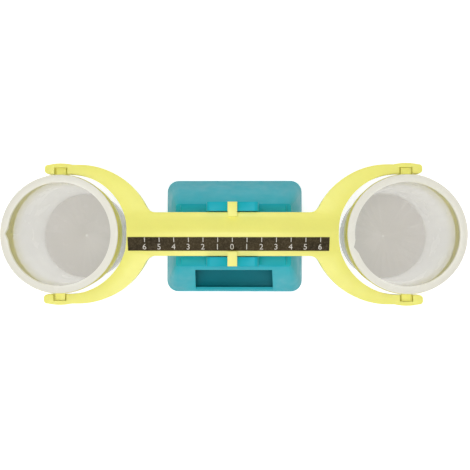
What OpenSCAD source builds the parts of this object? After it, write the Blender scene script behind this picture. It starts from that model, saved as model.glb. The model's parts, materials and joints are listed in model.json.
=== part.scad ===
// Bucket balance for a classroom: a beam on knife edges carries a removable bucket at each end.
// The origin is on the table under the fulcrum, +X runs along the beam and +Y to the back.

/* [Balance] */
// Distance from the fulcrum to each bucket pivot
arm_length = 149; // [140:1:170]
// Height of the fulcrum line above the table
fulcrum_height = 106; // [102:1:120]
// How far the bucket pivots lie below the fulcrum line
pivot_drop = 5.5; // [5:0.1:6.5]

/* [Base] */
// Length of the base at the table
base_length = 139; // [130:1:150]
// Depth of the base at the table
base_depth = 114.5; // [110:0.5:122]
// Length of the flat top of the base
deck_length = 108.5; // [106:0.5:112]
// Depth of the flat top of the base
deck_depth = 59; // [58:0.5:66]
// Height of the flat top above the table
deck_height = 60; // [54:1:64]
// Wall thickness of the base moulding
base_wall = 2.5; // [2:0.1:3]
// Radius of the base corners at the table
base_corner = 11.5; // [8:0.5:14]
// Height of the upright edge round the bottom of the base
base_edge = 5; // [4:0.5:8]
// How far the rubber feet lift the base
foot_lift = 1.5; // [1:0.1:2.5]
// Diameter of a rubber foot
foot_d = 12; // [8:0.5:14]
// Thickness of the plate that closes the base
plate_t = 2.4; // [2:0.1:3]

/* [Cheeks] */
// Length of a cheek that carries the fulcrum
cheek_length = 45; // [40:1:52]
// Thickness of a cheek
cheek_t = 7.8; // [7:0.1:8.5]
// Length of the low wall under a cheek
low_wall_length = 99; // [92:1:102]
// Height of the low wall above the deck
low_wall_rise = 7; // [5:0.5:12]
// Height of the cheek top above the fulcrum line
cheek_rise = 3.2; // [2.6:0.1:3.6]
// Half angle of the notch that the knife edge sits in
notch_angle = 65; // [63:1:68]

/* [Storage pocket] */
// Width of the pocket opening at its lower edge
pocket_width = 79.2; // [60:0.2:82]
// How much narrower the pocket is on each side at its upper edge
pocket_draft = 2.9; // [0:0.1:4]
// Height of the lower edge of the pocket opening
pocket_low = 11; // [10:0.5:14]
// Height of the band between the pocket opening and the deck
pocket_band = 7; // [6:0.5:20]
// How far the pocket reaches in from the deck edge towards the middle
pocket_reach = 12; // [6:0.5:18]
// Wall thickness of the pocket liner
bin_wall = 1.6; // [1.2:0.1:2]

/* [Beam] */
// Width of the beam between the cheeks
beam_width = 37.8; // [36:0.2:38]
// Height of the ridge above the flat lips of the beam
ridge_rise = 4; // [3:0.2:5]
// Width of the flat ridge
ridge_width = 4; // [3:0.2:6]
// Width of each flat lip of the beam
lip_width = 3.9; // [3.5:0.1:4.5]
// Height of the lips below the fulcrum line
lip_drop = 0.5; // [0.3:0.1:1]
// Depth of the beam sides below the lips
beam_depth = 10.5; // [9:0.5:13]
// Wall thickness of the beam moulding
beam_wall = 2; // [1.6:0.1:2.2]
// Clear width between the arms of a yoke
yoke_gap = 104.4; // [103:0.2:108]
// Width of each yoke arm
yoke_arm = 7.9; // [7.5:0.1:9]
// Depth of the yoke below the lips
yoke_depth = 8; // [7.5:0.5:9]
// How far the yoke bow is set in from the bucket pivot
bow_inset = 6; // [4:0.5:8]
// How far an arm reaches past the bucket pivot
arm_reach = 14; // [12:0.5:18]
// Radius of the outer flare of the yoke
flare_radius = 65; // [63:0.5:67]
// How far the outer flare is set in from the bucket pivot
flare_inset = 16; // [15:0.5:18]
// Radius of the hollow corner between the beam and the flare
neck_fillet = 9; // [4:0.5:11]
// Thickness of the ribs under a yoke
rib_t = 1.4; // [1:0.1:2]
// Number of ribs under each half of a yoke
rib_count = 3; // [1:1:5]

/* [Knife edges] */
// Width of a fulcrum lug
lug_width = 8.2; // [7:0.1:9]
// Height of a fulcrum lug above the fulcrum line
lug_rise = 4.5; // [4:0.1:5.5]
// Width of a bucket pivot lug
pivot_width = 8; // [7:0.1:9]
// Half angle of a knife edge
knife_angle = 50; // [45:1:52]
// Radius of the tip of a knife edge
knife_tip = 0.5; // [0.4:0.05:0.6]
// Running clearance round the tip
tip_clearance = 0.08; // [0.05:0.01:0.1]
// How deep a pivot lug reaches into its arm
pivot_seat = 5.2; // [4.5:0.1:5.5]
// Half angle of the notch that a bucket pivot hangs in
pivot_notch_angle = 72; // [70:1:76]

/* [Scale strip] */
// Length of the scale strip
strip_length = 173; // [150:1:174]
// Width of the scale strip
strip_width = 12.2; // [10:0.1:12.6]
// Thickness of the scale strip
strip_t = 0.3; // [0.2:0.05:0.5]
// How far the strip is set off towards the left bucket
strip_offset = 3.5; // [0:0.5:3.5]

/* [Zero slider] */
// Length of the slider body
slider_length = 16; // [12:0.5:20]
// How far the slider travels each way
slider_travel = 75; // [60:1:75]
// Width of the ledges that carry the slider
ledge_width = 2.4; // [2:0.1:3]
// Sliding clearance of the slider
slide_clearance = 0.3; // [0.2:0.05:0.4]

/* [Hoops] */
// Outer diameter of a hoop
hoop_d = 103; // [102:0.2:103.4]
// Height of a hoop
hoop_height = 20; // [14:0.5:24]
// Width of the seat on top of a hoop that carries the bucket flange
seat_width = 2.6; // [2.2:0.1:2.8]
// Wall thickness of a hoop below its seat
hoop_wall = 1.8; // [1.5:0.1:2.2]
// How much smaller the radius of a hoop is at its lower edge
hoop_draft = 1.4; // [0:0.1:1.8]
// Height of the hoop top above the bucket pivot line
hoop_rise = 7.5; // [6.5:0.1:8.5]

/* [Buckets] */
// Diameter of the bucket flange
flange_d = 102; // [100:0.5:102.5]
// Inside diameter of the bucket mouth
mouth_d = 89; // [86:0.5:90]
// Inside diameter of the bucket floor
floor_d = 83.6; // [80:0.2:86]
// Height of a bucket
bucket_height = 88; // [70:1:90]
// Wall thickness of a bucket
bucket_wall = 1.5; // [1.2:0.1:1.8]
// Thickness of the bucket flange
flange_t = 1.8; // [1.5:0.1:2.5]
// How far the pouring spout stands out of the bucket wall
spout_reach = 2.4; // [1.5:0.1:2.4]
// Direction that the right spout points in, counted from +X
right_spout_turn = 194; // [0:1:360]
// Direction that the left spout points in, counted from +X
left_spout_turn = 180; // [0:1:360]

/* [Hidden] */
$fn = 96;
eps = 0.01;
far = 400;
hull_sides = 32;
teal = [0.20, 0.66, 0.72];
teal_dark = [0.06, 0.40, 0.44];
yellow = [0.95, 0.93, 0.45];
clear_white = [0.93, 0.93, 0.91, 0.55];

// Base
shell_bottom = foot_lift;
deck_corner = 3;
skin_gap = 0.2;
plate_top = shell_bottom + plate_t;
plate_gap = 0.25;
front_run = (base_depth - deck_depth) / 2;
slope_rise = deck_height - shell_bottom - base_edge;
boss_inset = 16;
boss_x = base_length / 2 - boss_inset;
boss_y = base_depth / 2 - boss_inset;
boss_r = 3.6;
screw_r = 1.4;
hole_clearance = 0.05;
plate_hole_clearance = 0.2;
screw_length = 10;
screw_head_r = 2.8;
screw_head_t = 1.6;
screw_slot = 3.6;
foot_side_inset = 27;
foot_end_inset = 14;
foot_x = base_length / 2 - foot_side_inset;
foot_y = base_depth / 2 - foot_end_inset;
foot_seat = 1.2;
foot_bevel = 0.6;

// Pocket
pocket_high = deck_height - pocket_band;
pocket_back = -deck_depth / 2 + pocket_reach;

// Cheeks
cheek_gap = 0.9;
cheek_inner = beam_width / 2 + cheek_gap;
cheek_outer = cheek_inner + cheek_t;
cheek_top = fulcrum_height + cheek_rise;
low_wall_top = deck_height + low_wall_rise;
cheek_round = 4;
cheek_fillet = 5;

// Beam
lip_z = fulcrum_height - lip_drop;
ridge_z = lip_z + ridge_rise;
beam_bottom = lip_z - beam_depth;
yoke_bottom = lip_z - yoke_depth;
slope_start = ridge_width / 2;
slope_end = beam_width / 2 - lip_width;
slope_angle = atan2(ridge_rise, slope_end - slope_start);
bow_r = yoke_gap / 2;
bow_x = arm_length - bow_inset;
arm_outer = bow_r + yoke_arm;
flare_x = arm_length - flare_inset;
flare_y = arm_outer - flare_radius;
flare_lap = 4;
tip_x = arm_length + arm_reach;
tip_round = 3;
bar_end = bow_x - bow_r;
channel_end = slider_travel + slider_length / 2 + slide_clearance;
tang_width = 5;
tang_t = 1.4;
tang_depth = 1;
tang_inset = 0.3;
tang_y = slope_end + tang_t / 2 + tang_inset;
tang_clearance = 0.05;

// Bucket pivots
pivot_z = fulcrum_height - pivot_drop;
pivot_top_drop = 1.5;
pivot_top = lip_z - pivot_top_drop;
notch_half = 5.7;
pivot_end_gap = 0.3;
pad_length = 21;
pad_bump = 1.2;
pad_round = (pow(pad_length / 2, 2) + pow(pad_bump, 2)) / (2 * pad_bump);

// Hoops and buckets
hoop_r = hoop_d / 2;
hoop_top = pivot_z + hoop_rise;
seat_r = hoop_r - seat_width;
seat_t = 3;
rim_top = hoop_top + flange_t;
bucket_bottom = rim_top - bucket_height;
edge_round = 1;
foot_ring = 1;
foot_land = 4;
floor_top = 2.6;
floor_round = 2;
spout_height = 20;
spout_half_angle = 64;
spout_depth = 12;
spout_lean = atan2(spout_reach, spout_height - 4);
gate_r = 1.4;
gate_rise = 0.4;

// Slider
slider_half = beam_width / 2 - beam_wall - slide_clearance;
ledge_t = 1.6;
ledge_top = beam_bottom + ledge_t;
slider_bottom = ledge_top + slide_clearance / 2;
slider_height = 3.6;
grip_half = beam_width / 2 - beam_wall - ledge_width - slide_clearance;
grip_length = 10;
grip_drop = 5;
groove_r = 0.5;
groove_step = 1.5;

module both_sides() {
    children();
    mirror([1, 0, 0]) children();
}

module front_and_back() {
    children();
    mirror([0, 1, 0]) children();
}

// A flat section drawn in X and Z, standing up, from y0 to y1
module slab_xz(y0, y1) {
    translate([0, y1, 0]) rotate([90, 0, 0]) linear_extrude(y1 - y0) children();
}

// A flat section drawn in Y and Z, run along X from x0 to x1
module bar_yz(x0, x1) {
    translate([x0, 0, 0]) rotate([90, 0, 90]) linear_extrude(x1 - x0) children();
}

// A rectangle that stands on the line y = 0 and has round upper corners
module round_top(width, height, r) {
    translate([-width / 2, 0]) square([width, height - r]);
    translate([-width / 2 + r, 0]) square([width - 2 * r, height]);
    for (s = [-1, 1]) translate([s * (width / 2 - r), height - r]) circle(r);
}

module rounded_box_2d(length, width, r) {
    square([length - 2 * r, width], center = true);
    square([length, width - 2 * r], center = true);
    for (sx = [-1, 1], sy = [-1, 1])
        translate([sx * (length / 2 - r), sy * (width / 2 - r)]) circle(r);
}

// Knife edge, point down, with its round tip centred on the origin
module knife_section(width, top) {
    side = width / 2;
    shoulder = side / tan(knife_angle) - knife_tip / sin(knife_angle);
    half_arc = 90 - knife_angle;
    polygon(concat([for (i = [-4:4]) knife_tip * [sin(i * half_arc / 4), -cos(i * half_arc / 4)]],
                   [[side, shoulder], [side, top], [-side, top], [-side, shoulder]]));
}

// Notch under a knife edge, with a round bottom that clears the tip
module notch_section(angle, height) {
    r = knife_tip + tip_clearance;
    half_arc = 90 - angle;
    run = r * cos(angle) + (height + r * sin(angle)) * tan(angle);
    polygon(concat([for (i = [-4:4]) r * [sin(i * half_arc / 4), -cos(i * half_arc / 4)]],
                   [[run, height], [-run, height]]));
}

// Sloping body of the base, shrunk by a wall thickness where the inside is cut
module base_body(inset, low, high) {
    hull() {
        for (sx = [-1, 1], sy = [-1, 1]) {
            translate([sx * (base_length / 2 - base_corner), sy * (base_depth / 2 - base_corner), low])
                cylinder(h = base_edge, r = base_corner - inset, $fn = hull_sides);
            translate([sx * (deck_length / 2 - deck_corner), sy * (deck_depth / 2 - deck_corner), high - eps])
                cylinder(h = eps, r = deck_corner - inset * 0.9, $fn = hull_sides);
        }
    }
}

module cheek_profile() {
    translate([0, deck_height - base_wall / 2]) {
        round_top(low_wall_length, low_wall_top - deck_height + base_wall / 2, 2);
        round_top(cheek_length, cheek_top - deck_height + base_wall / 2, cheek_round);
    }
    for (s = [-1, 1]) translate([s * cheek_length / 2, low_wall_top]) difference() {
        translate([s > 0 ? -eps : -cheek_fillet, -eps]) square([cheek_fillet + eps, cheek_fillet + eps]);
        translate([s * cheek_fillet, cheek_fillet]) circle(cheek_fillet);
    }
}

// Half of the width of the pocket at height z
function pocket_half(z) = pocket_width / 2 - pocket_draft * (z - pocket_low) / (pocket_high - pocket_low);

// The pocket seen from the front, from height z0 to z1 and wider by grow on each side
module pocket_front_2d(z0, z1, grow) {
    polygon([[-pocket_half(z0) - grow, z0], [pocket_half(z0) + grow, z0],
             [pocket_half(z1) + grow, z1], [-pocket_half(z1) - grow, z1]]);
}

module base_shell() {
    color(teal) difference() {
        union() {
            difference() {
                base_body(0, shell_bottom, deck_height);
                base_body(base_wall, shell_bottom - eps, deck_height - base_wall);
            }
            front_and_back() slab_xz(cheek_inner, cheek_outer) cheek_profile();
            intersection() {
                for (sx = [-1, 1], sy = [-1, 1]) translate([sx * boss_x, sy * boss_y, plate_top])
                    cylinder(h = deck_height, r = boss_r);
                base_body(base_wall / 2, shell_bottom, deck_height - base_wall / 2);
            }
        }
        slab_xz(-base_depth, base_depth)
            translate([0, fulcrum_height]) notch_section(notch_angle, cheek_rise + 1);
        slab_xz(-base_depth, pocket_back) pocket_front_2d(pocket_low, pocket_high, 0);
        for (sx = [-1, 1], sy = [-1, 1]) translate([sx * boss_x, sy * boss_y, plate_top - eps])
            cylinder(h = screw_length - plate_t + 1, r = screw_r + hole_clearance);
    }
}

module base_plate() {
    color(teal_dark) difference() {
        translate([0, 0, shell_bottom]) linear_extrude(plate_t)
            rounded_box_2d(base_length - 2 * (base_wall + plate_gap),
                           base_depth - 2 * (base_wall + plate_gap), base_corner - base_wall - plate_gap);
        for (sx = [-1, 1], sy = [-1, 1]) {
            translate([sx * boss_x, sy * boss_y, 0]) {
                cylinder(h = plate_top + 1, r = screw_r + plate_hole_clearance);
                cylinder(h = shell_bottom + screw_head_t, r = screw_head_r + plate_hole_clearance);
            }
            translate([sx * foot_x, sy * foot_y, 0])
                cylinder(h = shell_bottom + foot_seat, r = foot_d / 2 + hole_clearance);
        }
    }
}

// Height profile of the sloping inner face of the base, as a depth at height z
function inner_front(z) =
    -base_depth / 2 + base_wall + skin_gap
    + max(0, z - shell_bottom - base_edge) * (front_run - base_wall * 0.1) / (slope_rise - base_wall);

module storage_bin() {
    back = pocket_back + bin_wall;
    top = pocket_high + bin_wall;
    low = plate_top + bin_wall;
    knee = shell_bottom + base_edge;
    color(teal_dark) difference() {
        intersection() {
            bar_yz(-base_length / 2, base_length / 2)
                polygon([[back, plate_top], [back, top], [inner_front(top), top],
                         [inner_front(knee), knee], [inner_front(knee), plate_top]]);
            slab_xz(-base_depth, base_depth) pocket_front_2d(plate_top, top, bin_wall);
        }
        slab_xz(-base_depth, pocket_back) pocket_front_2d(low, pocket_high, 0);
    }
}

module foot(sx, sy) {
    color("dimgray") translate([sx * foot_x, sy * foot_y, 0]) rotate_extrude()
        polygon([[0, 0], [foot_d / 2 - foot_bevel, 0], [foot_d / 2, foot_bevel],
                 [foot_d / 2, foot_lift + foot_seat], [0, foot_lift + foot_seat]]);
}
module foot_front_left() { foot(-1, -1); }
module foot_front_right() { foot(1, -1); }
module foot_back_left() { foot(-1, 1); }
module foot_back_right() { foot(1, 1); }

module base_screws() {
    color("silver") for (sx = [-1, 1], sy = [-1, 1]) translate([sx * boss_x, sy * boss_y, shell_bottom]) {
        difference() {
            cylinder(h = screw_head_t, r = screw_head_r);
            for (a = [0, 90]) rotate(a)
                cube([screw_slot, screw_slot / 5, screw_head_t], center = true);
        }
        cylinder(h = screw_length, r = screw_r);
    }
}

// Corner piece to subtract, so that the corner at the origin becomes round
module corner_cut(sx, sy, r) {
    difference() {
        translate([sx > 0 ? -r : -eps, sy > 0 ? -r : -eps]) square(r + eps);
        translate([-sx * r, -sy * r]) circle(r);
    }
}

// Plan of one end of the beam, shrunk by a wall thickness where the underside is cut
module yoke_plan(inset) {
    outer = arm_outer - inset;
    inner = bow_r + inset;
    half = beam_width / 2 - inset;
    reach = flare_radius - inset;
    hollow = neck_fillet + inset;
    hollow_x = flare_x - sqrt(pow(reach + hollow, 2) - pow(half + hollow - flare_y, 2));
    blend = hollow / (reach + hollow);
    difference() {
        union() {
            intersection() {
                for (s = [-1, 1]) intersection() {
                    translate([flare_x, s * flare_y]) circle(reach);
                    translate([0, s > 0 ? 0 : -far]) square(far);
                }
                translate([0, -far]) square([flare_x + eps, 2 * far]);
            }
            for (s = [-1, 1]) {
                translate([flare_x, s > 0 ? inner - flare_lap : -outer])
                    square([tip_x - inset - flare_x, outer - inner + flare_lap]);
                difference() {
                    polygon([[hollow_x, s * half], [hollow_x, s * (half - 1)],
                             [hollow_x + 3 * hollow, s * (half - 1)],
                             [hollow_x + (flare_x - hollow_x) * blend,
                              s * (half + hollow - (half + hollow - flare_y) * blend)]]);
                    translate([hollow_x, s * (half + hollow)]) circle(hollow);
                }
            }
        }
        translate([bow_x, 0]) circle(inner);
        translate([bow_x, -inner]) square([far, 2 * inner]);
        for (s = [-1, 1]) {
            translate([tip_x - inset, s * outer]) corner_cut(1, s, tip_round - inset / 2);
            translate([tip_x - inset, s * inner]) corner_cut(1, -s, tip_round - inset / 2);
        }
    }
}

// Solid pad that holds the notch of a bucket pivot
module pivot_pad_plan() {
    for (s = [-1, 1]) {
        translate([arm_length - pad_length / 2, s > 0 ? bow_r : -arm_outer]) square([pad_length, yoke_arm]);
        intersection() {
            translate([arm_length, s * (arm_outer + pad_bump - pad_round)]) circle(pad_round);
            translate([arm_length - pad_length / 2, s > 0 ? bow_r + 1 : -far])
                square([pad_length, far - bow_r - 1]);
        }
    }
}

// Places of the ribs that stiffen the underside of a yoke, from the arms round to the beam
module yoke_ribs() {
    neck_turn = 90 - asin(beam_width / 2 / bow_r);
    for (s = [-1, 1], i = [1:rib_count])
        translate([bow_x, 0]) rotate(s * (90 + i * neck_turn / (rib_count + 1)))
            translate([bow_r, -rib_t / 2]) square([far, rib_t]);
}

module pivot_notches() {
    front_and_back() slab_xz(bow_r - 1, bow_r + pivot_seat + pivot_end_gap)
        translate([arm_length, pivot_z]) intersection() {
            notch_section(pivot_notch_angle, far);
            translate([-notch_half, -2]) square([2 * notch_half, far]);
        }
}

module roof_2d(wall) {
    half = beam_width / 2;
    knee = slope_end - wall * tan(slope_angle / 2);
    ridge = slope_start - wall * tan(slope_angle / 2);
    polygon([[-half + wall, beam_bottom], [-half + wall, lip_z - wall], [-knee, lip_z - wall],
             [-ridge, ridge_z - wall], [ridge, ridge_z - wall],
             [knee, lip_z - wall], [half - wall, lip_z - wall], [half - wall, beam_bottom]]);
}

// Channel under the bar, with a ledge along each side that carries the slider
module channel_2d() {
    half = beam_width / 2 - beam_wall;
    difference() {
        roof_2d(beam_wall);
        translate([-far, beam_bottom - far]) square([2 * far, far + ledge_t]);
    }
    translate([-half + ledge_width, beam_bottom - 1]) square([2 * (half - ledge_width), ledge_t + 1 + eps]);
}

module beam() {
    color(yellow) difference() {
        union() {
            both_sides() {
                difference() {
                    translate([0, 0, yoke_bottom]) linear_extrude(yoke_depth) yoke_plan(0);
                    translate([0, 0, yoke_bottom - eps])
                        linear_extrude(yoke_depth - beam_wall + eps) difference() {
                            yoke_plan(beam_wall);
                            translate([0, -beam_width / 2]) square([far, beam_width]);
                            yoke_ribs();
                        }
                    translate([-eps, -beam_width / 2 + 0.5, 0]) cube([bow_x, beam_width - 1, far]);
                }
                translate([0, 0, yoke_bottom]) linear_extrude(yoke_depth) pivot_pad_plan();
            }
            difference() {
                bar_yz(-bar_end - 4, bar_end + 4) roof_2d(0);
                both_sides() translate([bow_x, 0, 0]) cylinder(h = far, r = bow_r);
            }
        }
        bar_yz(-channel_end, channel_end) channel_2d();
        both_sides() difference() {
            bar_yz(channel_end + beam_wall, bar_end + 4) roof_2d(beam_wall);
            translate([bow_x, 0, 0]) cylinder(h = far, r = bow_r + beam_wall);
        }
        both_sides() pivot_notches();
        front_and_back() translate([0, tang_y, lip_z - beam_wall / 2])
            cube([tang_width, tang_t, beam_wall] + [2 * tang_clearance, 2 * tang_clearance, 2], center = true);
    }
}

// Knife edge lug: it stands on a lip of the beam and reaches out over the cheek
module fulcrum_lug() {
    lug_top = fulcrum_height + lug_rise;
    translate([-lug_width / 2, slope_end, lip_z])
        cube([lug_width, beam_width / 2 - slope_end, lug_top - lip_z]);
    slab_xz(beam_width / 2, cheek_outer) translate([0, fulcrum_height]) knife_section(lug_width, lug_rise);
    translate([-tang_width / 2, tang_y - tang_t / 2, lip_z - beam_wall - tang_depth])
        cube([tang_width, tang_t, beam_wall + tang_depth + 1]);
}
module fulcrum_back() { color(yellow) fulcrum_lug(); }
module fulcrum_front() { color(yellow) mirror([0, 1, 0]) fulcrum_lug(); }

module scale_strip() {
    slope_length = (slope_end - slope_start) / cos(slope_angle);
    margin = (slope_length - strip_width) / 2;
    color([0.16, 0.14, 0.12]) bar_yz(-strip_length / 2 - strip_offset, strip_length / 2 - strip_offset)
        translate([-slope_start, ridge_z]) rotate(180 + slope_angle)
            translate([margin, -strip_t]) square([strip_width, strip_t]);
}

module zero_slider() {
    color(teal) {
        translate([-slider_length / 2, -slider_half, slider_bottom])
            cube([slider_length, 2 * slider_half, slider_height]);
        difference() {
            translate([-grip_length / 2, -grip_half, beam_bottom - grip_drop])
                cube([grip_length, 2 * grip_half, grip_drop + slider_bottom - beam_bottom + 1]);
            for (s = [-1, 1], i = [-1:1])
                translate([s * grip_length / 2, 0, beam_bottom - grip_drop / 2 + i * groove_step])
                    rotate([90, 0, 0]) cylinder(h = far, r = groove_r, center = true);
        }
    }
}

// Outer radius of a hoop at height z
function hoop_outer(z) = hoop_r - hoop_draft * (hoop_top - edge_round - z) / (hoop_height - edge_round);

module hoop() {
    low = hoop_top - hoop_height;
    bead_z = hoop_top - seat_t - seat_width + hoop_wall;
    translate([arm_length, 0, 0]) {
        rotate_extrude() {
            polygon([[seat_r, hoop_top], [seat_r, hoop_top - seat_t],
                     [hoop_outer(bead_z) - hoop_wall, bead_z], [hoop_outer(low) - hoop_wall, low],
                     [hoop_outer(low), low], [hoop_r, hoop_top - edge_round],
                     [hoop_r - edge_round, hoop_top]]);
            translate([hoop_r - edge_round, hoop_top - edge_round]) circle(edge_round);
        }
        front_and_back() slab_xz(hoop_outer(pivot_z) - hoop_wall / 2, bow_r + pivot_seat)
            translate([0, pivot_z]) knife_section(pivot_width, pivot_top - pivot_z);
    }
}
module hoop_right() { color(yellow) hoop(); }
module hoop_left() { color(yellow) mirror([1, 0, 0]) hoop(); }

module bucket_outer_2d() {
    mouth = mouth_d / 2 + bucket_wall;
    floor_r = floor_d / 2 + bucket_wall;
    top = bucket_height;
    polygon([[0, foot_ring], [floor_r - foot_land, foot_ring], [floor_r - foot_land + foot_ring, 0],
             [floor_r - floor_round, 0], [floor_r, floor_round], [mouth, top - flange_t],
             [mouth, top], [0, top]]);
    translate([floor_r - floor_round, floor_round]) circle(floor_round);
    translate([mouth - 1, top - flange_t]) square([flange_d / 2 - mouth + 1 - flange_t / 2, flange_t]);
    translate([flange_d / 2 - flange_t / 2, top - flange_t / 2]) circle(flange_t / 2);
}

// Leaning wedge of the spout that points in direction turn, with its edge at radius r on the rim
module spout_wedge(turn, r) {
    half_width = spout_depth * tan(spout_half_angle);
    rotate(turn) translate([r, 0, bucket_height]) rotate([0, spout_lean, 0])
        translate([-spout_depth, 0, -spout_height]) linear_extrude(spout_height + 2)
            polygon([[spout_depth, 0], [0, half_width], [0, -half_width]]);
}

module bucket(side, turn) {
    color(clear_white) translate([side * arm_length, 0, bucket_bottom]) {
        difference() {
            union() {
                rotate_extrude() bucket_outer_2d();
                intersection() {
                    spout_wedge(turn, mouth_d / 2 + bucket_wall + spout_reach);
                    cylinder(h = bucket_height, r = flange_d / 2);
                }
            }
            rotate_extrude() polygon([[0, floor_top], [floor_d / 2, floor_top],
                                      [mouth_d / 2, bucket_height + eps], [0, bucket_height + eps]]);
            spout_wedge(turn, mouth_d / 2 + spout_reach);
        }
        translate([0, 0, floor_top - gate_rise]) cylinder(h = 2 * gate_rise, r = gate_r);
    }
}
module bucket_left() { bucket(-1, left_spout_turn); }
module bucket_right() { bucket(1, right_spout_turn); }

base_shell();
base_plate();
storage_bin();
foot_front_left();
foot_front_right();
foot_back_left();
foot_back_right();
base_screws();
beam();
fulcrum_front();
fulcrum_back();
scale_strip();
zero_slider();
hoop_left();
hoop_right();
bucket_left();
bucket_right();
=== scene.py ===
"""Looks for the bucket balance: materials, scale print, light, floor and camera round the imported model."""
import json
import math

import bpy
from mathutils import Matrix, Vector


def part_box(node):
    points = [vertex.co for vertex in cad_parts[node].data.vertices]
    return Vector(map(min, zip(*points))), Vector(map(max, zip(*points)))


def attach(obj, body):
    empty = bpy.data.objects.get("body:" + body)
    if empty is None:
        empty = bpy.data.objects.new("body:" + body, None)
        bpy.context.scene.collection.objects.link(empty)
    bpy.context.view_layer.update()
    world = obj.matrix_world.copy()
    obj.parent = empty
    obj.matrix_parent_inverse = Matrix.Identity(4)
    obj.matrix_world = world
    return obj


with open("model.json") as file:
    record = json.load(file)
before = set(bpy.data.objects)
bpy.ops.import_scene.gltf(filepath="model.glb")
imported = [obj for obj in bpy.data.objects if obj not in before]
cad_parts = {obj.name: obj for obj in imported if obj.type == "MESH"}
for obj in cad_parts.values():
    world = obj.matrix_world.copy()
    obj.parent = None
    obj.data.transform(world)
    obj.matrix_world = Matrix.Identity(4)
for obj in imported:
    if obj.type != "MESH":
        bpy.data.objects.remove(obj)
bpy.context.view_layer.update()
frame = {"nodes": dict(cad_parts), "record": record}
NODES = frame["nodes"]

# Sizes, in metres
MM = 0.001
SLOPE_TOP = Vector((0, -2.0, 109.5)) * MM     # upper edge of the beam's front slope
SLOPE_ANGLE = math.atan2(4.0, 13.0)           # how steeply that slope falls to the front
STRIP_T = 0.3 * MM                            # the strip stands this far out of the slope
TICK_STEP = 12.56 * MM
PRINT_LIFT = 0.02 * MM
PRINT_T = 0.03 * MM                           # thickness of the print
TICK_HALF, TICK_TOP, TICK_LOW = 0.32 * MM, -0.9 * MM, -5.0 * MM
DIGIT_SIZE, DIGIT_DOWN, DIGIT_SHIFT = 7.2 * MM, 9.5 * MM, 0.3 * MM
STEPS = range(-6, 7)

# Colours


def linear(r, g, b):
    """Linear colour of an 8-bit display colour."""
    def one(v):
        v /= 255
        return v / 12.92 if v <= 0.04045 else ((v + 0.055) / 1.055) ** 2.4
    return (one(r), one(g), one(b), 1.0)


def scaled(color, k):
    return tuple(min(1.0, c * k) for c in color[:3]) + (1.0,)


# Node helpers


class Tree:
    """A new material with its shader on the output and short calls for adding nodes."""

    def __init__(self, name):
        self.mat = bpy.data.materials.new(name)
        self.mat.use_nodes = True
        self.tree = self.mat.node_tree
        self.tree.nodes.clear()
        self.out = self.add("ShaderNodeOutputMaterial")
        self.shader = self.add("ShaderNodeBsdfPrincipled")
        self.link(self.shader.outputs[0], self.out.inputs["Surface"])
        self.coords = self.add("ShaderNodeTexCoord").outputs["Object"]

    def add(self, kind, **values):
        node = self.tree.nodes.new(kind)
        for key, value in values.items():
            if hasattr(node, key):
                setattr(node, key, value)
            else:
                node.inputs[key.replace("_", " ")].default_value = value
        return node

    def link(self, a, b):
        self.tree.links.new(a, b)

    def noise(self, scale, detail=3.0, rough=0.5, stretch=None):
        node = self.add("ShaderNodeTexNoise", Scale=scale, Detail=detail, Roughness=rough)
        if stretch is None:
            self.link(self.coords, node.inputs["Vector"])
        else:
            mapping = self.add("ShaderNodeMapping", Scale=stretch)
            self.link(self.coords, mapping.inputs["Vector"])
            self.link(mapping.outputs[0], node.inputs["Vector"])
        return node.outputs["Fac"]

    def spread(self, value, low, high, from_low=0.3, from_high=0.7):
        node = self.add("ShaderNodeMapRange", From_Min=from_low, From_Max=from_high, To_Min=low, To_Max=high)
        self.link(value, node.inputs["Value"])
        return node.outputs["Result"]

    def mix(self, fac, a, b):
        node = self.add("ShaderNodeMix", data_type="RGBA")
        for socket, value in ((node.inputs[0], fac), (node.inputs[6], a), (node.inputs[7], b)):
            if isinstance(value, bpy.types.NodeSocket):
                self.link(value, socket)
            else:
                socket.default_value = value
        return node.outputs[2]

    def bump(self, value, strength, distance, normal=None):
        node = self.add("ShaderNodeBump", Strength=strength, Distance=distance)
        self.link(value, node.inputs["Height"])
        if normal is not None:
            self.link(normal, node.inputs["Normal"])
        return node.outputs[0]

    def math(self, operation, *values):
        node = self.add("ShaderNodeMath", operation=operation)
        for socket, value in zip(node.inputs, values):
            if isinstance(value, bpy.types.NodeSocket):
                self.link(value, socket)
            else:
                socket.default_value = value
        return node.outputs[0]

    def place(self):
        """The object's own X, Y and Z at the shaded point."""
        node = self.add("ShaderNodeSeparateXYZ")
        self.link(self.coords, node.inputs[0])
        return node.outputs

    def translucent(self, color):
        node = self.add("ShaderNodeBsdfTranslucent")
        self.link(color, node.inputs["Color"])
        return node.outputs[0]

    def blend(self, fac, a, b):
        """Mix of two shaders."""
        node = self.add("ShaderNodeMixShader")
        for socket, value in zip(node.inputs, (fac, a, b)):
            self.link(value, socket)
        return node.outputs[0]

    def set(self, **values):
        for key, value in values.items():
            socket = self.shader.inputs[key.replace("_", " ")]
            if isinstance(value, bpy.types.NodeSocket):
                self.link(value, socket)
            else:
                socket.default_value = value


# Materials


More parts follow.
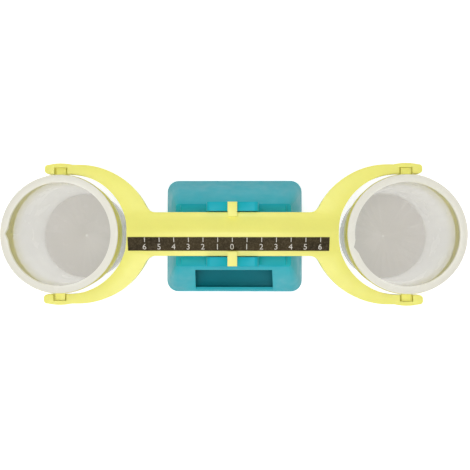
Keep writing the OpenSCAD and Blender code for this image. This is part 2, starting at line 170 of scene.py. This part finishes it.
def moulded(name, color, rough, grain=0.12, mottle=0.05, gloss=0.5, subsurface=0.0,
             thin=0.0):
    """Injection moulded plastic: slow flow mottling, a fine spark-eroded grain and uneven gloss.

    The share thin of the light goes through it, as through a thin wall."""
    t = Tree(name)
    flow = t.spread(t.noise(28, 4, 0.55, (1, 1, 0.4)), 0, 1)
    specks = t.spread(t.noise(420, 2), 0, 1)
    base = t.mix(flow, scaled(color, 1 - mottle), scaled(color, 1 + mottle))
    base = t.mix(t.spread(specks, 0, 0.10, 0, 1), base, scaled(color, 0.9))
    t.set(Base_Color=base, Roughness=t.spread(t.noise(90, 3), rough * 0.85, rough * 1.2),
          Normal=t.bump(t.noise(2600, 2), grain, 0.00005, t.bump(t.noise(45, 2), 0.05, 0.0006)))
    t.set(IOR=1.5, Specular_IOR_Level=gloss, Subsurface_Weight=subsurface)
    t.shader.inputs["Subsurface Radius"].default_value = (0.004, 0.003, 0.001)
    t.shader.inputs["Subsurface Scale"].default_value = 1.0
    if thin:
        outward = t.math("ABSOLUTE", t.place()["Y"])
        both = t.blend(t.spread(outward, thin, 0, *LUG_REACH), t.shader.outputs[0], t.translucent(base))
        t.link(both, t.out.inputs["Surface"])
    return t.mat


def milky_clear(name):
    """Milky polypropylene of the buckets: partly see-through, and it scatters both ways what it holds back.

    It is denser in the floor and in the flange, where it is thicker. The floor's darker tone is painted
    shade, and the flange's lighter tone a painted highlight."""
    t = Tree(name)
    cloud = t.spread(t.noise(22, 3, 0.5), 0, 1)
    place = t.place()
    over_floor = t.spread(place["Z"], 0, 1, *CLEAR_FLOOR)
    at_rim = t.spread(place["Z"], 0, 1, *CLEAR_RIM)
    flat = t.add("ShaderNodeCombineXYZ")
    t.link(t.math("SUBTRACT", t.math("ABSOLUTE", place["X"]), BUCKET_X), flat.inputs["X"])
    t.link(place["Y"], flat.inputs["Y"])
    radius = t.add("ShaderNodeVectorMath", operation="LENGTH")
    t.link(flat.outputs[0], radius.inputs[0])
    gate = t.spread(radius.outputs["Value"], 1, 0, *GATE_MARK)
    wall_tone = t.mix(cloud, linear(226, 224, 218), linear(234, 232, 226))
    # painted shade: the floor gets a darker tone than the wall, for the shade in the bucket's bottom; the
    # pale gate mark in its middle is the bucket's own
    shaded_floor_tone = t.mix(gate, linear(214, 210, 205), linear(255, 255, 252))
    # painted highlight: the flange gets a lighter tone than the wall, for light glinting in the thick rim
    tone = t.mix(at_rim, t.mix(over_floor, shaded_floor_tone, wall_tone), linear(250, 248, 237))
    t.set(Base_Color=tone, Roughness=t.spread(t.noise(60, 3), 0.2, 0.3),
          Normal=t.bump(t.noise(24, 1), 0.03, 0.0005))
    t.set(IOR=1.45)
    haze = t.blend(t.spread(at_rim, CLEAR_BACK, RIM_BACK, 0, 1), t.shader.outputs[0], t.translucent(tone))
    wall_haze = t.spread(cloud, CLEAR_HAZE - HAZE_CLOUD, CLEAR_HAZE + HAZE_CLOUD, 0, 1)
    held = t.add("ShaderNodeMapRange", To_Min=FLOOR_HAZE)
    t.link(over_floor, held.inputs["Value"])
    t.link(wall_haze, held.inputs["To Max"])
    rim = t.add("ShaderNodeMapRange", To_Max=RIM_HAZE)
    t.link(at_rim, rim.inputs["Value"])
    t.link(held.outputs["Result"], rim.inputs["To Min"])
    open_part = t.add("ShaderNodeBsdfTransparent").outputs[0]
    t.link(t.blend(rim.outputs["Result"], open_part, haze), t.out.inputs["Surface"])
    return t.mat


def film(name):
    """Dark printed film of the scale, a little wavy and glossy."""
    t = Tree(name)
    cloud = t.spread(t.noise(55, 4, 0.6, (0.6, 1, 1)), 0, 1)
    specks = t.spread(t.noise(650, 4, 0.7), 0, 0.55, 0.45, 0.7)
    base = t.mix(cloud, linear(38, 31, 18), linear(66, 56, 34))
    t.set(Base_Color=t.mix(specks, base, linear(108, 96, 74)),
          Roughness=t.spread(t.noise(150, 2), 0.3, 0.42),
          Normal=t.bump(t.noise(70, 2), 0.25, 0.0005))
    t.set(Specular_IOR_Level=0.12)
    return t.mat


def print_ink(name):
    t = Tree(name)
    worn = t.spread(t.noise(900, 3), 0, 1)
    t.set(Base_Color=t.mix(worn, linear(196, 190, 178), linear(226, 221, 210)), Roughness=0.5)
    return t.mat


def zinc(name):
    t = Tree(name)
    t.set(Base_Color=t.mix(t.spread(t.noise(500, 3), 0, 1), linear(150, 150, 152), linear(190, 190, 192)),
          Roughness=t.spread(t.noise(800, 3), 0.25, 0.45), Metallic=1.0)
    return t.mat


def rubber(name):
    t = Tree(name)
    t.set(Base_Color=t.mix(t.spread(t.noise(300, 4), 0, 1), linear(34, 34, 35), linear(52, 52, 53)),
          Roughness=t.spread(t.noise(200, 2), 0.6, 0.85), Normal=t.bump(t.noise(1500, 3), 0.3, 0.0001))
    return t.mat


BUCKET_LOW, BUCKET_HIGH = (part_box("bucket_left")[i][2] for i in (0, 1))
CLEAR_FLOOR = BUCKET_LOW + 2.2 * MM, BUCKET_LOW + 3.4 * MM     # between these the floor becomes the wall
CLEAR_RIM = BUCKET_HIGH - 2.6 * MM, BUCKET_HIGH - 1.6 * MM     # and here the wall becomes the flange
HAZE_CLOUD = 0.02     # how much that share varies with the clouds in the plastic
CLEAR_HAZE = 0.5      # share of the light that each face of a bucket's wall holds back
FLOOR_HAZE = 0.68      # the same for the thicker floor
BUCKET_X = (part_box("bucket_right")[0][0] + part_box("bucket_right")[1][0]) / 2
GATE_MARK = 0.9 * MM, 1.5 * MM       # radius of the pale gate mark in the middle of a bucket's floor
RIM_HAZE = 0.86       # and for the flange
CLEAR_BACK = 0.4      # share of that which the wall and floor scatter to their far side
RIM_BACK = 0.06       # and the flange
LUG_REACH = 50.5 * MM, 51.5 * MM     # from this distance to the middle line a hoop has its solid lugs
YELLOW = linear(248, 243, 125)
TEAL = linear(26, 178, 193)
# the teal darkened as painted shade, for the storage bin down inside the base's pocket
TEAL_PAINTED_SHADE = linear(3, 126, 138)
mats = {
    "yellow_plastic": moulded("yellow_plastic", YELLOW, 0.34, mottle=0.03, subsurface=0.08),
    "teal_plastic": moulded("teal_plastic", TEAL, 0.4, mottle=0.05, gloss=0.16),
    # painted shade: a darker copy of the teal plastic for the storage bin in the pocket
    "dark_teal_plastic": moulded("dark_teal_plastic", TEAL_PAINTED_SHADE, 0.45, mottle=0.06, gloss=0.16),
    "clear_plastic": milky_clear("clear_plastic"),
    "scale_print": film("scale_print"),
    "foot_rubber": rubber("foot_rubber"),
    "screw_steel": zinc("screw_steel"),
}
ink = print_ink("scale_ink")
hoop_yellow = moulded("yellow_plastic_thin", YELLOW, 0.34, mottle=0.03, subsurface=0.08, thin=0.45)


def dress(obj, mat):
    obj.data.materials.clear()
    obj.data.materials.append(mat)


def soften(obj, width, segments=3, angle=32):
    """Small moulded radius on every sharp edge of a CAD node."""
    weld = obj.modifiers.new("weld", "WELD")
    weld.merge_threshold = 1e-6
    bevel = obj.modifiers.new("radius", "BEVEL")
    bevel.width = width
    bevel.segments = segments
    bevel.limit_method = "ANGLE"
    bevel.angle_limit = math.radians(angle)
    bevel.use_clamp_overlap = True
    bevel.harden_normals = True
    for poly in obj.data.polygons:
        poly.use_smooth = True


for part in frame["record"]["subparts"]:
    thin_wall = part["node"].startswith("hoop_")
    dress(NODES[part["node"]], hoop_yellow if thin_wall else mats[part["material_slot"]])
for name, width in (("base_shell", 0.5), ("beam", 0.4), ("fulcrum_front", 0.35), ("fulcrum_back", 0.35),
                    ("hoop_left", 0.3), ("hoop_right", 0.3), ("storage_bin", 0.25), ("zero_slider", 0.4),
                    ("bucket_left", 0.45), ("bucket_right", 0.45)):
    soften(NODES[name], width * MM)

# Seats of the hoops
SEAT_PROFILE = [(49.3, -2.2), (46.9, -2.2), (46.45, -1.8), (46.45, -0.5), (46.75, -0.15), (49.3, -0.15)]
SEAT_STEPS = 160
SPOUT_TURN = {"left": math.radians(180), "right": math.radians(194)}
SPOUT_GAP = math.radians(8)       # the lip stops this far on each side of the spout


def seat_lip(side):
    """The rest of a hoop's seat: a thin lip under the bucket's flange, with a gap for the spout.

    Its profile gives radius and height in millimetres, from the middle of the hoop's top."""
    low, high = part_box("hoop_" + side)
    middle = Vector(((low[0] + high[0]) / 2, (low[1] + high[1]) / 2, high[2]))
    start, sweep = SPOUT_TURN[side] + SPOUT_GAP, 2 * math.pi - 2 * SPOUT_GAP
    verts, faces = [], []
    for i in range(SEAT_STEPS + 1):
        a = start + sweep * i / SEAT_STEPS
        verts += [middle + Vector((r * math.cos(a), r * math.sin(a), z)) * MM for r, z in SEAT_PROFILE]
    n = len(SEAT_PROFILE)
    for i in range(SEAT_STEPS):
        for k in range(n):
            a, b = i * n + k, i * n + (k + 1) % n
            faces.append((a, b, b + n, a + n))
    faces += [tuple(reversed(range(n))), tuple(range(SEAT_STEPS * n, SEAT_STEPS * n + n))]
    obj = new_mesh("hoop_seat_" + side, verts, faces, hoop_yellow)
    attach(obj, "hoop_" + side)


# Print on the scale strip


def slope_matrix(x, down):
    """Frame on the strip, down from its upper edge: x along the beam, y up the slope, z out of it."""
    c, s = math.cos(SLOPE_ANGLE), math.sin(SLOPE_ANGLE)
    up, out = Vector((0, c, s)), Vector((0, -s, c))
    where = SLOPE_TOP + Vector((x, 0, 0)) - up * down + out * (STRIP_T + PRINT_LIFT)
    m = Matrix((Vector((1, 0, 0)), up, out)).transposed().to_4x4()
    m.translation = where
    return m


def new_mesh(name, verts, faces, mat):
    mesh = bpy.data.meshes.new(name)
    mesh.from_pydata(verts, [], faces)
    mesh.update()
    obj = bpy.data.objects.new(name, mesh)
    bpy.context.scene.collection.objects.link(obj)
    dress(obj, mat)
    return obj


def ticks():
    """Thirteen marks, as thin closed bars."""
    verts, faces = [], []
    w, top, low, t = TICK_HALF, TICK_TOP, TICK_LOW, PRINT_T
    for k in STEPS:
        m = slope_matrix(k * TICK_STEP, 0)
        n = len(verts)
        verts += [m @ Vector(p) for p in ((-w, low, 0), (w, low, 0), (w, top, 0), (-w, top, 0),
                                          (-w, low, t), (w, low, t), (w, top, t), (-w, top, t))]
        faces += [[n + i for i in f] for f in ((0, 3, 2, 1), (4, 5, 6, 7), (0, 1, 5, 4), (1, 2, 6, 5),
                                               (2, 3, 7, 6), (3, 0, 4, 7))]
    return new_mesh("scale_ticks", verts, faces, ink)


def numbers():
    """The plain numbers 6 to 0 to 6 under the marks."""
    verts, faces = [], []
    for k in STEPS:
        text = bpy.data.curves.new("digit", "FONT")
        text.body = str(abs(k))
        text.size = DIGIT_SIZE
        text.extrude = PRINT_T / 2
        text.resolution_u = 4
        text.align_x, text.align_y = "CENTER", "CENTER"
        obj = bpy.data.objects.new("digit", text)
        bpy.context.scene.collection.objects.link(obj)
        bpy.context.view_layer.update()
        mesh = bpy.data.meshes.new_from_object(obj.evaluated_get(bpy.context.evaluated_depsgraph_get()))
        m = slope_matrix(k * TICK_STEP - DIGIT_SHIFT, DIGIT_DOWN) @ Matrix.Translation((0, 0, PRINT_T / 2))
        n = len(verts)
        verts += [m @ v.co for v in mesh.vertices]
        faces += [[n + i for i in p.vertices] for p in mesh.polygons]
        bpy.data.objects.remove(obj)
        bpy.data.meshes.remove(mesh)
    return new_mesh("scale_numbers", verts, faces, ink)


for side in ("left", "right"):
    seat_lip(side)
for piece in (ticks(), numbers()):
    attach(piece, "beam")

# Stage, light and camera


def white_when_seen(tree, shader, strength):
    """Adds plain white to what the camera, mirrors and clear plastic see of a surface: a white ground."""
    path = tree.add("ShaderNodeLightPath").outputs
    seen = tree.math("MAXIMUM", path["Is Camera Ray"],
                     tree.math("MAXIMUM", path["Is Glossy Ray"], path["Is Transmission Ray"]))
    glow = tree.add("ShaderNodeEmission")
    tree.link(tree.math("MULTIPLY", seen, strength), glow.inputs["Strength"])
    total = tree.add("ShaderNodeAddShader")
    tree.link(shader, total.inputs[0])
    tree.link(glow.outputs[0], total.inputs[1])
    tree.link(total.outputs[0], tree.out.inputs["Surface"])


floor_look = Tree("floor")
floor_look.set(Base_Color=floor_look.mix(floor_look.spread(floor_look.noise(3, 2), 0, 1),
                                         (0.90, 0.90, 0.90, 1), (0.93, 0.93, 0.93, 1)), Roughness=0.9)
floor_look.set(Specular_IOR_Level=0.0)
white_when_seen(floor_look, floor_look.shader.outputs[0], 0.5)
FLOOR_HALF = 4.0
corners = [(x * FLOOR_HALF, y * FLOOR_HALF, 0) for x, y in ((-1, -1), (1, -1), (1, 1), (-1, 1))]
floor = new_mesh("floor", corners, [(0, 1, 2, 3)], floor_look.mat)

SKY_LIGHT = 0.45      # the strength with which the world lights the object; it is seen as plain white
world = bpy.data.worlds.new("studio")
bpy.context.scene.world = world
world.use_nodes = True
nodes, links = world.node_tree.nodes, world.node_tree.links
nodes.clear()
path = nodes.new("ShaderNodeLightPath")
seen = nodes.new("ShaderNodeMath")
seen.operation = "MAXIMUM"
links.new(path.outputs["Is Camera Ray"], seen.inputs[0])
links.new(path.outputs["Is Transmission Ray"], seen.inputs[1])
level = nodes.new("ShaderNodeMapRange")
level.inputs["To Min"].default_value = SKY_LIGHT
level.inputs["To Max"].default_value = 1.0
links.new(seen.outputs[0], level.inputs["Value"])
sky = nodes.new("ShaderNodeBackground")
sky.inputs["Color"].default_value = (1, 1, 1, 1)
links.new(level.outputs[0], sky.inputs["Strength"])
links.new(sky.outputs[0], nodes.new("ShaderNodeOutputWorld").inputs["Surface"])


def lamp(name, where, size, watts):
    data = bpy.data.lights.new(name, "AREA")
    data.shape, data.size, data.energy = "DISK", size, watts
    obj = bpy.data.objects.new(name, data)
    obj.location = where
    obj.rotation_euler = (LAMP_TARGET - Vector(where)).to_track_quat("-Z", "Y").to_euler()
    bpy.context.scene.collection.objects.link(obj)


LAMP_TARGET = Vector((0, 0, 0.08))
lamp("top", (-0.05, -0.12, 1.6), 1.0, 9.0)
lamp("front", (-0.2, -1.3, 0.95), 0.8, 4.0)
lamp("back", (0.1, 1.4, 0.8), 0.8, 2.5)

# Camera found by matching the level model's outlines with the photograph's frame of 470 by 470
FRAME_PX, FOCAL_PX = 470.0, 564.64
EYE = Vector((10.435, -10.178, 591.6)) * MM
PITCH, YAW, ROLL = (math.radians(v) for v in (-1.103, -0.968, -0.028))
aim = Matrix.Rotation(ROLL, 3, "Z") @ Matrix.Rotation(YAW, 3, "Y") @ Matrix.Rotation(PITCH, 3, "X")
lens = bpy.data.cameras.new("camera")
lens.sensor_width = 36
lens.sensor_fit = "HORIZONTAL"
lens.lens = 36 * FOCAL_PX / FRAME_PX
lens.clip_start = 0.01
camera = bpy.data.objects.new("camera", lens)
camera.matrix_world = Matrix.Translation(EYE) @ aim.transposed().to_4x4()
bpy.context.scene.collection.objects.link(camera)
bpy.context.scene.camera = camera
bpy.context.scene.view_settings.view_transform = "Standard"
